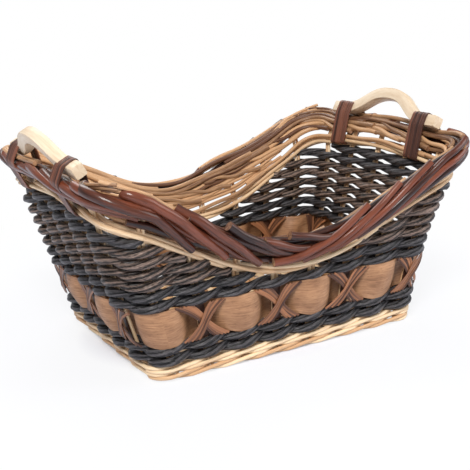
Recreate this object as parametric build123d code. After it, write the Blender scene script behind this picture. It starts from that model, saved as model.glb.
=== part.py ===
from build123d import *
import os
from math import atan, cos, degrees, pi, radians, sin, sqrt

# Trug garden basket in millimetres: X runs along the basket, Y across it, Z up from the floor.
# The wall's middle surface is where the upright stakes stand; strands lie outside and inside it.

# Wall form, measured at the middle surface
base_half_length = 131.0
base_half_width = 97.0
base_corner = 13.0
wall_height = 150.0
rim_half_length = 175.0
rim_half_width = 125.0
rim_corner = 25.0
wall_curve_share = 3.0

# Stakes: double canes standing in the wall
cane_diameter = 3.2
cane_gap = 0.5
cane_clearance = 0.85
side_stakes = 8
end_stakes = 5
stake_shift_share = 0.35
stake_foot = 0.8
stake_rise = 4.5
corner_stake_drop = 10.0
stake_bend_shares = [0.3, 0.55, 0.8]

# Twisted paper rope rows
rope_diameter = 9.2
row_pitch = 10.3
black_pitch = 9.6
wall_row_count = 8
layer_gap = 0.4
row_end_gap = 1.8

# Foot wale of natural cane, cut flat where the basket stands
foot_cane_diameter = 4.6
foot_pitch = 4.8
foot_flat = 0.5

# Woven floor on lengthwise sticks
floor_lift = 1.5
floor_thickness = 7.0
floor_edge_gap = 0.3
stick_diameter = 4.2
stick_edge = 13.6
stick_gap = 0.2
stick_count = 7

# Wide wood chip woven in and out of the stakes
chip_height = 30.0
chip_thickness = 1.8
chip_swing = 8.5

# Flat bark strips crossed over each stake in the chip band
strip_width = 5.5
strip_thickness = 0.9
strip_reach = 14.2
strip_seat = 3.0
strip_step = 1.1
strip_angle = 56.0

# Rim line, at the middle of the lower rim wale strand
rim_low = 75.8
rim_side_vertex = 50.0
rim_shoulder_run = 100.0
rim_shoulder_bend = 300.0
rim_at_corner = 141.5
rim_at_end = 151.0
rim_end_bend = 400.0
rim_path_corner = 27.0
border_lean_share = 0.4

# Rim wale of natural cane
wale_diameter = 4.4
wale_offset = 5.1
wale_pitch = 5.1

# Border rods: stained willow outside, natural willow inside
outer_rod_diameter = 6.0
outer_rod_offset = 6.3
outer_rod_start = 10.8
outer_rod_pitch = 6.7
inner_rod_diameter = 5.6
inner_rod_offset = 5.8
inner_rod_start = 11.0
inner_rod_pitch = 6.5

# Bentwood handles
handle_width = 11.0
handle_thickness = 11.5
handle_edge = 2.0
handle_half_length = 81.0
handle_foot_bend = 47.0
handle_shoulder = 19.0
handle_rise = 22.0
handle_foot_radius = 26.0
handle_shoulder_radius = 34.0
handle_tilt = 28.0
handle_set_in = 10.0
handle_seat_gap = 0.5

# Bark lashings that tie the handles' feet to the border
lashing_diameter = 2.4
lashing_pitch = 3.0
lashing_turns = 5
lashing_middle = 59.5
lashing_corner = 4.0
lashing_gap = 0.9
lashing_inner_slack = 3.2
lashing_outer_slack = 1.5
lashing_knee_slack = 1.0

strand_offset = cane_diameter / 2 + cane_clearance + rope_diameter / 2
foot_offset = cane_diameter / 2 + cane_clearance + foot_cane_diameter / 2
stake_count = 2 * (side_stakes + end_stakes)
long_side_spaces = side_stakes - 1 + 2 * stake_shift_share
end_spaces = end_stakes + 1 - 2 * stake_shift_share

# Heights of the layers, from the floor up
foot_heights = [foot_cane_diameter / 2 - foot_flat + foot_pitch * n for n in range(3)]
foot_top = foot_heights[-1] + foot_cane_diameter / 2
black_low = foot_top + layer_gap + rope_diameter / 2
black_heights = [black_low, black_low + black_pitch]
chip_low = black_heights[-1] + rope_diameter / 2 + layer_gap
chip_high = chip_low + chip_height
first_row = chip_high + layer_gap + rope_diameter / 2
row_heights = [first_row + row_pitch * n for n in range(wall_row_count)]


def half_length(z):
    return base_half_length + (rim_half_length - base_half_length) * z / wall_height


def half_width(z):
    return base_half_width + (rim_half_width - base_half_width) * (z / wall_height) ** wall_curve_share


def corner_radius(z):
    return base_corner + (rim_corner - base_corner) * z / wall_height


def station(k, z):
    """Point of the middle surface at stake number k, and the outward direction there in degrees."""
    k = (k + stake_shift_share) % stake_count
    turns = 0
    for spaces in (long_side_spaces, end_spaces, long_side_spaces, end_spaces):
        if k < spaces:
            break
        k -= spaces
        turns += 1
    r = corner_radius(z)
    along, out = (half_length(z), half_width(z)) if turns % 2 == 0 else (half_width(z), half_length(z))
    straight = along - r
    whole = 2 * straight + r * pi / 2
    s = whole * k / spaces - whole / 2
    turn = 0.0
    x, y = s, -out
    if abs(s) > straight:
        turn = (abs(s) - straight) / r
        side = 1 if s > 0 else -1
        x = side * (straight + r * sin(turn))
        y = -(out - r + r * cos(turn))
        turn = side * turn
    spot = Vector(x, y, z).rotate(Axis.Z, 90 * turns)
    return spot, degrees(turn) - 90 + 90 * turns


def heading(angle):
    return Vector(cos(radians(angle)), sin(radians(angle)), 0)


# The rim line is twelve straight runs with a long bend over each side and end
side_slope = (rim_at_corner - rim_side_vertex) / half_length(rim_at_corner)
side_bend = (rim_low - rim_side_vertex) / (1 / cos(atan(side_slope)) - 1)
shoulder_height = rim_side_vertex + side_slope * rim_shoulder_run
side_plane_lean = (half_width(shoulder_height) - half_width(rim_low)) / (shoulder_height - rim_low)
side_vertex_width = half_width(rim_low) - side_plane_lean * (rim_low - rim_side_vertex)
corner_spread_share = side_slope * border_lean_share


def rim_path(out, up):
    """The rim line moved outwards and upwards, as one closed smooth wire."""
    out = out + border_lean_share * up
    x_corner = half_length(rim_at_corner) + out
    y_corner = half_width(rim_at_corner) + out
    z_corner = rim_at_corner + up + corner_spread_share * up
    x_end, z_end = half_length(rim_at_end) + out, rim_at_end + up
    y_side, z_side = side_vertex_width + out, rim_side_vertex + up
    x_shoulder = rim_shoulder_run
    y_shoulder, z_shoulder = half_width(shoulder_height) + out, shoulder_height + up
    points = [
        (0, -y_side, z_side),
        (x_shoulder, -y_shoulder, z_shoulder),
        (x_corner, -y_corner, z_corner),
        (x_end, 0, z_end),
        (x_corner, y_corner, z_corner),
        (x_shoulder, y_shoulder, z_shoulder),
        (0, y_side, z_side),
        (-x_shoulder, y_shoulder, z_shoulder),
        (-x_corner, y_corner, z_corner),
        (-x_end, 0, z_end),
        (-x_corner, -y_corner, z_corner),
        (-x_shoulder, -y_shoulder, z_shoulder),
    ]
    corner = rim_path_corner + out
    radii = [side_bend, rim_shoulder_bend, corner, rim_end_bend, corner, rim_shoulder_bend] * 2
    return FilletPolyline(*points, radius=radii, close=True)


def side_rim_height(x):
    """Height of the rim line over a long side."""
    tangent = side_bend * sin(atan(side_slope))
    if abs(x) < tangent:
        return rim_low + side_bend - sqrt(side_bend**2 - x**2)
    return rim_side_vertex + side_slope * abs(x)


def end_rim_height(y, up=0.0):
    """Height of the rim line over an end, or of a rod that stands this much above it."""
    fall = rim_at_end - rim_at_corner - corner_spread_share * up
    return rim_at_end + up - fall * abs(y) / half_width(rim_at_corner)


def run_rim_height(run, z):
    """Height of the rim line above a point of a row, by its run from the end's middle."""
    r = corner_radius(z)
    straight = half_width(z) - r
    if run < straight:
        return end_rim_height(run)
    if run > straight + r * pi / 2:
        return side_rim_height(half_length(z) - r - (run - straight - r * pi / 2))
    share = (run - straight) / (r * pi / 2)
    high, low = end_rim_height(straight), side_rim_height(half_length(z) - r)
    return high + (low - high) * share


def row_half_run(z):
    """How far a short row reaches from the end's middle before the rim wale closes on it."""
    need = z + (rope_diameter / 2 + wale_diameter / 2 + layer_gap) / cos(atan(side_slope))
    low, high = 0.0, half_width(z) + half_length(z)
    for _ in range(40):
        middle = (low + high) / 2
        if run_rim_height(middle, z) > need:
            low = middle
        else:
            high = middle
    run = low - strand_offset
    # The turned end either goes right round a stake or stops short of it
    canes = cane_diameter + cane_gap / 2 + row_end_gap
    around = canes - strand_offset + rope_diameter / 2
    short = canes + strand_offset + rope_diameter / 2
    for stake_run in stake_runs(z):
        if stake_run - short < run < stake_run + around:
            run = stake_run - short
    return run


def stake_runs(z):
    """Where the stakes stand, by their run from the end's middle."""
    a, b, r = half_length(z), half_width(z), corner_radius(z)
    end_run = 2 * (b - r) + r * pi / 2
    side_run = 2 * (a - r) + r * pi / 2
    at_end = [end_run * n / end_spaces for n in range(end_stakes // 2 + 1)]
    past_corner = [stake_shift_share + n for n in range(side_stakes // 2)]
    on_side = [end_run / 2 + side_run * share / long_side_spaces for share in past_corner]
    return at_end + on_side


def ring_path(z, offset):
    a, b, r = half_length(z) + offset, half_width(z) + offset, corner_radius(z) + offset
    return Pos(0, 0, z) * RectangleRounded(2 * a, 2 * b, r).wire()


def tube(path, diameter):
    start = Plane(origin=path @ 0, z_dir=path % 0)
    return sweep(start * Circle(diameter / 2), path=path)


def ring_pair(z, offset, diameter):
    """A twined row that runs right round: one strand outside the stakes and one inside."""
    return [tube(ring_path(z, offset), diameter), tube(ring_path(z, -offset), diameter)]


def short_row(z, side):
    """A row round one end only. Its strand turns back round the wall and closes on itself."""
    run = row_half_run(z)
    a, b, r = half_length(z), half_width(z), corner_radius(z)
    straight = min(run, b - r)
    turn = max(0.0, min((run - straight) / r, pi / 2))
    tail = max(0.0, run - straight - r * pi / 2)
    centre = Vector(a - r, straight, 0)

    def place(point):
        return (side * point.X, point.Y, z)

    def end_point(offset, angle, length, lift):
        out = Vector(cos(angle), sin(angle), 0)
        ahead = Vector(-sin(angle), cos(angle), 0)
        spot = centre + out * (r + offset) + ahead * (length + lift)
        return spot

    def mirrored(point):
        return Vector(point.X, -point.Y, 0)

    edges = []
    for flip in (False, True):
        fold = mirrored if flip else Vector
        for offset in (strand_offset, -strand_offset):
            start = fold(end_point(offset, 0, 0, 0))
            finish = fold(end_point(offset, turn, 0, 0))
            if turn > 0:
                middle = fold(end_point(offset, turn / 2, 0, 0))
                edges.append(ThreePointArc(place(start), place(middle), place(finish)))
            if tail > 0:
                edges.append(Line(place(finish), place(fold(end_point(offset, turn, tail, 0)))))
        outer = fold(end_point(strand_offset, turn, tail, 0))
        inner = fold(end_point(-strand_offset, turn, tail, 0))
        tip = fold(end_point(0, turn, tail, strand_offset))
        edges.append(ThreePointArc(place(outer), place(tip), place(inner)))
    for offset in (strand_offset, -strand_offset):
        start = end_point(offset, 0, 0, 0)
        edges.append(Line(place(mirrored(start)), place(start)))
    return tube(Wire([piece.edge() for piece in edges]), rope_diameter)


def stake_rim_height(k):
    spot, _ = station(k, rim_at_corner)
    x_straight = half_length(rim_at_corner) - rim_corner
    y_straight = half_width(rim_at_corner) - rim_corner
    if abs(spot.Y) <= y_straight:
        return end_rim_height(spot.Y)
    if abs(spot.X) <= x_straight:
        return side_rim_height(spot.X)
    return (end_rim_height(y_straight) + side_rim_height(x_straight)) / 2


rim_line = rim_path(0, 0)


def stake(k):
    """Two canes side by side, curved with the wall up to the rim line; a corner's stop just below it."""
    rim = stake_rim_height(k)
    foot, angle = station(k, stake_foot)
    bends = [station(k, rim * share)[0] for share in stake_bend_shares]
    head, _ = station(k, rim - corner_stake_drop)
    if k % (side_stakes + end_stakes) not in (0, side_stakes - 1):
        under_rim, _ = station(k, rim)
        _, on_rim, _ = rim_line.distance_to_with_closest_points(under_rim)
        head = on_rim + (heading(angle) * border_lean_share + Vector(0, 0, 1)) * stake_rise
    canes = []
    for hand in (-1, 1):
        beside = heading(angle + 90) * (hand * (cane_diameter + cane_gap) / 2)
        path = Spline(*[point + beside for point in [foot, *bends, head]])
        canes.append(tube(path, cane_diameter))
    return canes


def stake_group(numbers):
    return [cane for k in numbers for cane in stake(k)]


def chip_wire(z, thickness):
    """The chip's wavy outline at one height: outside the even stakes and inside the odd ones."""
    arcs = []

    def spot_at(k, swing):
        spot, angle = station(k, z)
        return spot + heading(angle) * (swing + thickness)

    for k in range(stake_count):
        swing = -chip_swing if k % 2 else chip_swing
        half_space = 1 / 2
        ends = [spot_at(k - half_space, 0), spot_at(k + half_space, 0)]
        arcs.append(ThreePointArc(ends[0], spot_at(k, swing), ends[1]).edge())
    return Wire(arcs)


def chip_band():
    skins = []
    for thickness in (chip_thickness / 2, -chip_thickness / 2):
        wires = [chip_wire(chip_low, thickness), chip_wire(chip_high, thickness)]
        skins.append(Solid.make_loft(wires, ruled=True))
    return skins[0] - skins[1]


def crossed_strips(k, side):
    """Two bark strips crossed over one stake, outside (side 1) or inside (side -1) the wall."""
    z = (chip_low + chip_high) / 2
    spot, angle = station(k, z)
    low, _ = station(k, chip_low)
    high, _ = station(k, chip_high)
    tangent = heading(angle + 90)
    out = tangent.cross(high - low).normalized()
    strips = []
    for n, turn in enumerate((strip_angle, -strip_angle)):
        seat = side * (strip_seat + strip_step * n)
        plane = Plane(origin=spot + out * seat, x_dir=tangent, z_dir=out)
        strip = Box(2 * strip_reach, strip_width, strip_thickness)
        strips.append(plane * Rot(0, 0, turn) * strip)
    return strips


def floor_weave():
    """The woven floor as one slab, with a channel for each stick."""
    inset = foot_offset + foot_cane_diameter / 2 + floor_edge_gap
    z = foot_heights[0]
    a, b = half_length(z) - inset, half_width(z) - inset
    slab = extrude(RectangleRounded(2 * a, 2 * b, corner_radius(z) - inset), floor_thickness)
    slab = Pos(0, 0, floor_lift) * slab
    sticks = []
    stick_spacing = 2 * (b - stick_edge) / (stick_count - 1)
    for n in range(stick_count):
        y = stick_spacing * (n - (stick_count - 1) / 2)
        place = Pos(0, y, floor_lift + floor_thickness / 2) * Rot(0, 90, 0)
        slab -= place * Cylinder(stick_diameter / 2 + stick_gap, 2 * half_length(z))
        sticks.append(place * Cylinder(stick_diameter / 2, 2 * a))
    return slab, sticks


def foot_wale(z):
    rings = ring_pair(z, foot_offset, foot_cane_diameter)
    if z > foot_cane_diameter / 2:
        return rings
    span = half_length(rim_at_end) * 4
    below = Pos(0, 0, -foot_cane_diameter / 2) * Box(span, span, foot_cane_diameter)
    return [ring - below for ring in rings]


# The handle's foot rests on the top inner rod and leans out towards the outer ones
outer_rod_up = outer_rod_start + 2 * outer_rod_pitch
inner_rod_up = inner_rod_start + 2 * inner_rod_pitch
outer_rod_x = half_length(rim_at_end) + outer_rod_offset + border_lean_share * outer_rod_up
inner_rod_x = half_length(rim_at_end) - inner_rod_offset + border_lean_share * inner_rod_up
foot_inner_end = handle_foot_bend - handle_thickness / 2
seat_height = end_rim_height(foot_inner_end, inner_rod_up)
seat_lift = handle_thickness / 2 + inner_rod_diameter / 2 + handle_seat_gap
handle_x = outer_rod_x - handle_set_in
handle_lean = radians(handle_tilt)
handle_z = seat_height + ((inner_rod_x - handle_x) * sin(handle_lean) + seat_lift) / cos(handle_lean)


def handle():
    """One bentwood handle, at the basket's right end."""
    points = [
        (0, -handle_half_length, 0),
        (0, -handle_foot_bend, 0),
        (0, -handle_shoulder, handle_rise),
        (0, handle_shoulder, handle_rise),
        (0, handle_foot_bend, 0),
        (0, handle_half_length, 0),
    ]
    radii = [handle_foot_radius, handle_shoulder_radius, handle_shoulder_radius, handle_foot_radius]
    path = FilletPolyline(*points, radius=radii)
    plane = Plane(origin=path @ 0, x_dir=(1, 0, 0), z_dir=path % 0)
    bar = sweep(plane * RectangleRounded(handle_width, handle_thickness, handle_edge), path=path)
    return Pos(handle_x, 0, handle_z) * Rot(0, handle_tilt, 0) * bar


def lashing():
    """A bark strip wound round the handle's foot and the border, at the right end's rear foot."""
    reach = lashing_gap + lashing_diameter / 2
    far_turn = lashing_middle + lashing_pitch * lashing_turns / 2
    wall_x = half_length(rim_at_end)
    bottom = end_rim_height(far_turn) - wale_diameter / 2 - reach
    out = Vector(cos(handle_lean), 0, -sin(handle_lean))
    up = Vector(sin(handle_lean), 0, cos(handle_lean))
    foot = Vector(handle_x, 0, handle_z)
    half_across = handle_width / 2 + reach
    half_through = handle_thickness / 2 + reach
    inner_reach = wale_offset + wale_diameter / 2 + reach + lashing_inner_slack
    outer_reach = outer_rod_offset + outer_rod_diameter / 2 + reach + lashing_outer_slack
    knee = outer_rod_x + outer_rod_diameter / 2 + reach + lashing_knee_slack
    knee_height = end_rim_height(far_turn, outer_rod_up)
    corners = [
        Vector(wall_x - inner_reach, 0, bottom),
        Vector(wall_x + outer_reach, 0, bottom),
        Vector(knee, 0, knee_height),
        foot + out * half_across + up * half_through,
        foot - out * half_across + up * half_through,
        foot - out * half_across - up * half_through,
    ]
    points = []
    for n in range(len(corners) * lashing_turns + 1):
        y = lashing_middle + lashing_pitch * (n / len(corners) - lashing_turns / 2)
        points.append(corners[n % len(corners)] + Vector(0, y, 0))
    first = (points[0] + points[1]) / 2
    last = (points[-1] + points[-2]) / 2
    path = FilletPolyline(first, *points[1:-1], last, radius=lashing_corner)
    samples = [path @ (n / 400) for n in range(401)]
    apart = 400 // lashing_turns // 2
    gaps = [
        (samples[i] - samples[j]).length
        for i in range(0, 401, 2)
        for j in range(i + apart, 401, 2)
    ]
    print("lashing gap to itself", round(min(gaps) - lashing_diameter, 2))
    return tube(path, lashing_diameter)


def rod_loop(offset, start, pitch, diameter, n):
    return tube(rim_path(offset, start + pitch * n), diameter)


weave, sticks = floor_weave()
nodes = {"base_weave": [weave], "base_sticks": sticks}
for name, z in zip(("lower", "middle", "upper"), foot_heights):
    nodes["foot_wale_" + name] = foot_wale(z)
for name, z in zip(("lower", "upper"), black_heights):
    nodes["black_row_" + name] = ring_pair(z, strand_offset, rope_diameter)
nodes["chip_band"] = [chip_band()]
even, odd = range(0, stake_count, 2), range(1, stake_count, 2)
nodes["outer_cross_lashing"] = [strip for k in odd for strip in crossed_strips(k, 1)]
nodes["inner_cross_lashing"] = [strip for k in even for strip in crossed_strips(k, -1)]
nodes["wall_row_1"] = ring_pair(row_heights[0], strand_offset, rope_diameter)
for n, z in enumerate(row_heights[1:]):
    nodes["left_row_" + str(n + 2)] = [short_row(z, -1)]
    nodes["right_row_" + str(n + 2)] = [short_row(z, 1)]

turn_rear = side_stakes + end_stakes
turn_left = turn_rear + side_stakes
nodes["stakes_front"] = stake_group(range(0, side_stakes))
nodes["stakes_right"] = stake_group(range(side_stakes, turn_rear))
nodes["stakes_rear"] = stake_group(range(turn_rear, turn_left))
nodes["stakes_left"] = stake_group(range(turn_left, stake_count))

for name, side in (("outer", 1), ("inner", -1)):
    strands = [tube(rim_path(side * wale_offset, wale_pitch * n), wale_diameter) for n in range(2)]
    nodes["rim_wale_" + name] = strands
for n, name in enumerate(("lower", "middle", "upper")):
    outer = (outer_rod_offset, outer_rod_start, outer_rod_pitch, outer_rod_diameter)
    inner = (-inner_rod_offset, inner_rod_start, inner_rod_pitch, inner_rod_diameter)
    nodes["border_outer_" + name] = [rod_loop(*outer, n)]
    nodes["border_inner_" + name] = [rod_loop(*inner, n)]

right_handle = handle()
rear_lashing = lashing()
front_lashing = mirror(rear_lashing, about=Plane.XZ)
half_turn = Rot(0, 0, 180)
nodes["right_handle"] = [right_handle]
nodes["left_handle"] = [half_turn * right_handle]
nodes["right_handle_rear_lashing"] = [rear_lashing]
nodes["right_handle_front_lashing"] = [front_lashing]
nodes["left_handle_front_lashing"] = [half_turn * rear_lashing]
nodes["left_handle_rear_lashing"] = [half_turn * front_lashing]

os.makedirs("parts", exist_ok=True)
for name, solids in nodes.items():
    shape = solids[0] if len(solids) == 1 else Compound(children=list(solids))
    shape.label = name
    export_step(shape, "parts/" + name + ".step")
print(len(nodes), "nodes")
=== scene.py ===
import random
from math import atan, atan2, cos, exp, floor, pi, radians, sin, sqrt

import bpy
import numpy as np
from mathutils import Matrix, Vector
from numpy.linalg import norm


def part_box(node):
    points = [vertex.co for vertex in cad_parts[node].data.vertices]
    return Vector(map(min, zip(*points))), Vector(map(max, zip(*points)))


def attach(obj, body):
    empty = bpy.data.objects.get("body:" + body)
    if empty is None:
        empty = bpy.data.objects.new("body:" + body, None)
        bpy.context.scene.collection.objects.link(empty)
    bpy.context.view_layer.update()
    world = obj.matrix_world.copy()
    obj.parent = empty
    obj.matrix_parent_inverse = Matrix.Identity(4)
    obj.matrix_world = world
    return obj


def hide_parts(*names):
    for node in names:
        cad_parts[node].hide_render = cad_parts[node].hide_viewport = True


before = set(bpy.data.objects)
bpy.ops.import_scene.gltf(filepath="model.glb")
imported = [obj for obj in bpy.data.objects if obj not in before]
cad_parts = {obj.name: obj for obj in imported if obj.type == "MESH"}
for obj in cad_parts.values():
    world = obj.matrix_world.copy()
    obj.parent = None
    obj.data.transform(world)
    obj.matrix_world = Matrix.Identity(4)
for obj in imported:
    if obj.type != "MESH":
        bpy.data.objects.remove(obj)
scene = bpy.context.scene
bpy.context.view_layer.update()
print("frame loaded", len(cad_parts), "nodes")

# Lengths in the pieces' values are millimetres; meshes are written in metres
wall = {
    "baseHalfLength": 131.0, "baseHalfWidth": 97.0, "baseCorner": 13.0, "height": 150.0,
    "rimHalfLength": 175.0, "rimHalfWidth": 125.0, "rimCorner": 25.0, "curve": 3.0,
    "sideSpaces": 7.7, "endSpaces": 5.3, "stakeShift": 0.35,
}
rim = {"low": 75.8, "sideVertex": 50.0, "atCorner": 141.5, "atEnd": 151.0, "lean": 0.4,
       "steps": 24, "easings": 3, "easeReach": 6}
stakeCount = 26
halfRound = stakeCount // 2
rightMiddle, leftMiddle = 10.0, 23.0


def clipped(value):
    return min(1.0, max(0.0, value))


def eased(value):
    t = clipped(value)
    return t * t * (3 - 2 * t)


def spacesApart(k, other):
    return abs((k - other + halfRound) % stakeCount - halfRound)


def stationsRound(steps):
    return [n / steps for n in range(stakeCount * steps)]


def evenly(count):
    return [n * stakeCount / count for n in range(count)]


def wallSize(name, share):
    return wall["base" + name] + (wall["rim" + name] - wall["base" + name]) * share


def halfLength(z):
    return wallSize("HalfLength", z / wall["height"])


def halfWidth(z):
    return wallSize("HalfWidth", (max(z, 0.0) / wall["height"]) ** wall["curve"])


def cornerRadius(z):
    return wallSize("Corner", z / wall["height"])


def wallPoint(k, z, out=0.0):
    # a place on the wall: k counts stakes round from the front left corner
    k = (k + wall["stakeShift"]) % stakeCount
    turns = 0
    for spaces in (wall["sideSpaces"], wall["endSpaces"]) * 2:
        if k < spaces:
            break
        k -= spaces
        turns += 1
    r = cornerRadius(z)
    along, across = halfLength(z), halfWidth(z)
    if turns % 2:
        along, across = across, along
    straight = along - r
    whole = 2 * straight + r * pi / 2
    s = whole * k / spaces - whole / 2
    turn = 0.0
    x, y = s, -across
    if abs(s) > straight:
        turn = (abs(s) - straight) / r
        side = 1 if s > 0 else -1
        x = side * (straight + r * sin(turn))
        y = -(across - r + r * cos(turn))
        turn *= side
    facing = turn - pi / 2 + turns * pi / 2
    c, d = cos(turns * pi / 2), sin(turns * pi / 2)
    return np.array([c * x - d * y + out * cos(facing), d * x + c * y + out * sin(facing), z])


def facingAt(k, z):
    return wallPoint(k, z, 1.0) - wallPoint(k, z)


def sideRimHeight(x):
    # two slopes with a round bend in the middle of the side
    slope = (rim["atCorner"] - rim["sideVertex"]) / halfLength(rim["atCorner"])
    bend = (rim["low"] - rim["sideVertex"]) / (1 / cos(atan(slope)) - 1)
    if x < bend * sin(atan(slope)):
        return rim["low"] + bend - sqrt(bend * bend - x * x)
    return rim["sideVertex"] + slope * x


def endRimHeight(y):
    return rim["atEnd"] - (rim["atEnd"] - rim["atCorner"]) * y / halfWidth(rim["atCorner"])


def makeRimTable():
    # places on the rim line and the directions outwards, several to a stake space
    xEdge = halfLength(rim["atCorner"]) - wall["rimCorner"]
    yEdge = halfWidth(rim["atCorner"]) - wall["rimCorner"]
    stations = stationsRound(rim["steps"])
    heights = []
    for k in stations:
        x, y, _ = abs(wallPoint(k, rim["atCorner"]))
        if y <= yEdge:
            heights.append(endRimHeight(y))
        elif x <= xEdge:
            heights.append(sideRimHeight(x))
        else:
            share = (x - xEdge) / wall["rimCorner"]
            heights.append(sideRimHeight(xEdge) * (1 - share) + endRimHeight(yEdge) * share)
    z = np.array(heights)
    reach = rim["easeReach"]
    for _ in range(rim["easings"]):
        z = sum(np.roll(z, shift) for shift in range(-reach, reach + 1)) / (2 * reach + 1)
    spots = np.array([wallPoint(k, height) for k, height in zip(stations, z)])
    outs = np.array([facingAt(k, height) for k, height in zip(stations, z)])
    return spots, outs


rimSpots, rimOuts = makeRimTable()


def rimPoint(k, up=0.0, out=0.0):
    # a place by the rim line: up is height over it, out is outwards, and the border leans out
    at = (k % stakeCount) * rim["steps"]
    low = int(floor(at)) % len(rimSpots)
    share = at - floor(at)
    high = (low + 1) % len(rimSpots)
    spot = rimSpots[low] * (1 - share) + rimSpots[high] * share
    facing = rimOuts[low] * (1 - share) + rimOuts[high] * share
    facing = facing / norm(facing)
    return spot + facing * (out + rim["lean"] * up) + (0, 0, up)


# Mesh making: each piece gathers its strands in a skin and becomes one object
crest = {"rise": 2.2, "round": 0.7, "sink": 1.4}
stripSection = ((-0.5, -0.3), (-0.46, 0.3), (-0.2, 0.5), (0.2, 0.5),
                (0.46, 0.3), (0.5, -0.3), (0.2, -0.5), (-0.2, -0.5))
capMiddle = 0.004


def newSkin():
    return {"verts": [], "faces": [], "uvs": [], "tones": [], "slots": [], "count": 0}


def addGrid(skin, rings, alongs, closed, tone, arounds=None):
    # faces between rings of points; a closed grid joins its last ring to its first
    rows, columns, _ = rings.shape
    if arounds is None:
        arounds = np.arange(columns + 1) / columns
    spans = np.arange(rows if closed else rows - 1)
    ii, jj = np.meshgrid(spans, np.arange(columns), indexing="ij")
    pairs = (ii, jj), (ii, jj + 1), (ii + 1, jj + 1), (ii + 1, jj)
    quads = np.stack([i % rows * columns + j % columns for i, j in pairs], -1).reshape(-1, 4)
    corners = np.stack([np.stack([alongs[i], arounds[j]], -1) for i, j in pairs], -2)
    skin["verts"].append(rings.reshape(-1, 3))
    skin["tones"].append(np.full(rows * columns, tone))
    skin["faces"].extend((quads + skin["count"]).tolist())
    skin["uvs"].append(corners.reshape(-1, 2))
    skin["slots"].extend([0] * len(quads))
    skin["count"] += rows * columns


def addCaps(skin, rings, tone, slot=0):
    # cut ends: a fan round the middle of the first and last ring
    for ring, flip in ((rings[0], False), (rings[-1], True)):
        base, n = skin["count"], len(ring)
        skin["verts"].append(np.vstack([ring, ring.mean(axis=0)]))
        skin["tones"].append(np.full(n + 1, tone))
        skin["count"] += n + 1
        for j in range(n):
            a, b = base + j, base + (j + 1) % n
            skin["faces"].append([b, a, base + n] if flip else [a, b, base + n])
            skin["uvs"].append(np.array([[0.0, j / n], [0.0, (j + 1) / n], [capMiddle, (j + 0.5) / n]]))
            skin["slots"].append(slot)


def addStrand(skin, rings, lengths, closed, tone, capSlot=0):
    # the tone also shifts the grain along the strand, so that no two look alike
    addGrid(skin, rings, (lengths + 1000 * tone) / 1000, closed, tone)
    if not closed:
        addCaps(skin, rings, tone, capSlot)


def lengthsAlong(points, closed):
    if closed:
        points = np.vstack([points, points[:1]])
    return np.append(0.0, np.cumsum(norm(np.diff(points, axis=0), axis=1)))


def tangentsAlong(points, closed):
    if closed:
        tangents = np.roll(points, -1, axis=0) - np.roll(points, 1, axis=0)
    else:
        tangents = np.gradient(points, axis=0)
    return tangents / norm(tangents, axis=1)[:, None]


def framesAlong(points, closed):
    # two directions across the line, carried along it without twist
    tangents = tangentsAlong(points, closed)
    start = np.cross(tangents[0], [0.0, 0.0, 1.0])
    if norm(start) < 0.2:
        start = np.cross(tangents[0], [0.0, 1.0, 0.0])
    normals = np.zeros_like(points)
    normals[0] = start / norm(start)
    for i in range(1, len(points)):
        moved = normals[i - 1] - tangents[i] * np.dot(normals[i - 1], tangents[i])
        normals[i] = moved / norm(moved)
    if closed:
        last = normals[-1] - tangents[0] * np.dot(normals[-1], tangents[0])
        last /= norm(last)
        off = atan2(np.dot(np.cross(last, normals[0]), tangents[0]), np.dot(last, normals[0]))
        turn = off * np.arange(len(points)) / len(points)
        others = np.cross(tangents, normals)
        normals = normals * np.cos(turn)[:, None] + others * np.sin(turn)[:, None]
    return normals, np.cross(tangents, normals)


def addTube(skin, points, radius, sides, closed, tone, lobes=0, lobeDepth=0.0, lobePitch=1.0, capSlot=0):
    points = np.array(points, dtype=float)
    normals, others = framesAlong(points, closed)
    lengths = lengthsAlong(points, closed)
    theta = 2 * pi * np.arange(sides) / sides
    swell = np.ones((len(points), sides))
    if lobes:
        turns = max(1, round(lengths[-1] / lobePitch))
        s = lengths[: len(points), None]
        wave = np.abs(np.cos(lobes * theta / 2 + pi * turns * s / lengths[-1]))
        swell += lobeDepth * (crest["rise"] * wave ** crest["round"] - crest["sink"])
    radii = (np.zeros(len(points)) + radius)[:, None] * swell
    across, through = radii * np.cos(theta), radii * np.sin(theta)
    rings = points[:, None] + across[..., None] * normals[:, None] + through[..., None] * others[:, None]
    addStrand(skin, rings, lengths, closed, tone, capSlot)


def addRibbon(skin, points, wides, width, thickness, closed, tone):
    # a flat strip with a slightly domed face
    points = np.array(points, dtype=float)
    tangents = tangentsAlong(points, closed)
    wide = np.array(wides, dtype=float)
    wide = wide - tangents * np.sum(wide * tangents, axis=1)[:, None]
    wide /= norm(wide, axis=1)[:, None]
    deep = np.cross(tangents, wide)
    rings = np.stack([points + wide * (a * width) + deep * (b * thickness) for a, b in stripSection], axis=1)
    addStrand(skin, rings, lengthsAlong(points, closed), closed, tone)


def addObject(name, data):
    holder = bpy.data.objects.new(name, data)
    scene.collection.objects.link(holder)
    return holder


def makePiece(name, skin, materials, nodes, sharp=50.0):
    mesh = bpy.data.meshes.new(name)
    verts = np.vstack(skin["verts"]) / 1000
    mesh.from_pydata(verts.tolist(), [], skin["faces"])
    uvLayer = mesh.uv_layers.new(name="strand")
    uvLayer.data.foreach_set("uv", np.vstack(skin["uvs"]).ravel())
    tones = mesh.attributes.new("tone", "FLOAT", "POINT")
    tones.data.foreach_set("value", np.concatenate(skin["tones"]))
    for material in materials:
        mesh.materials.append(material)
    mesh.polygons.foreach_set("material_index", skin["slots"])
    mesh.polygons.foreach_set("use_smooth", [True] * len(mesh.polygons))
    mesh.set_sharp_from_angle(angle=radians(sharp))
    mesh.validate()
    piece = addObject(name, mesh)
    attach(piece, "root")
    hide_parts(*nodes)


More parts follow.
